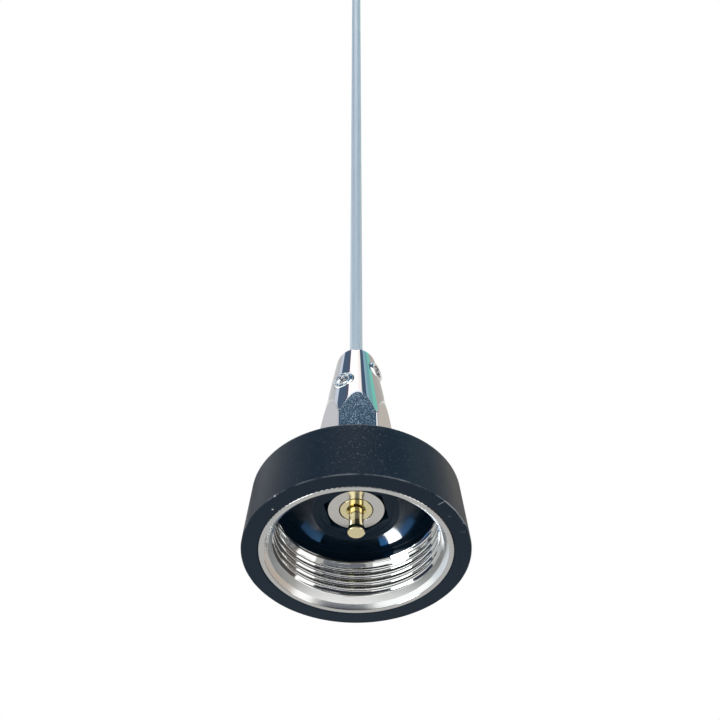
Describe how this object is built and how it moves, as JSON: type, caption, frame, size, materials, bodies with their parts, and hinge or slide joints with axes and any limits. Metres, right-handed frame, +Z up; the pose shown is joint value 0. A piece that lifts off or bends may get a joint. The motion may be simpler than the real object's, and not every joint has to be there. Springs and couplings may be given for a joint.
{
  "type": "mobile radio antenna",
  "caption": "Straight stainless whip in a set-screw ferrule on a low round base with a threaded ring and a sprung centre contact.",
  "frame": {"origin": "centre of the base's bottom rim, in the plane that it stands on", "axes": "+Z up the whip, -Y towards the side that the picture shows"},
  "size_m": [0.0376, 0.0376, 0.5003],
  "materials": {
    "nickel_plate": "bright nickel plating over turned brass",
    "black_moulding": "black, satin outside and glossy inside",
    "stud_nickel": "nickel plating over turned brass, faced smooth",
    "gold_plate": "gold plating",
    "spring_steel": "plain spring wire",
    "gasket_rubber": "matt black rubber",
    "bright_chrome": "mirror-bright plating over turned brass",
    "screw_steel": "bright plated steel",
    "stainless_rod": "drawn stainless rod, satin along its length"
  },
  "bodies": {
    "antenna": {"thread_ring": "nickel_plate", "housing": "black_moulding", "contact_stud": "stud_nickel", "contact_barrel": "gold_plate", "contact_spring": "spring_steel", "ferrule_gasket": "gasket_rubber", "whip_ferrule": "bright_chrome", "set_screw_lower": "screw_steel", "set_screw_upper": "screw_steel", "whip": "stainless_rod"},
    "plunger": {"contact_plunger": "gold_plate"}
  },
  "joints": [
    {"name": "contact_slide", "type": "slide", "parent": "antenna", "child": "plunger", "axis": [0, 0, 1], "range_m": [0, 0.002], "stiffness_N_per_m": 400, "springref_m": -0.001, "deforming": ["contact_spring"]}
  ]
}
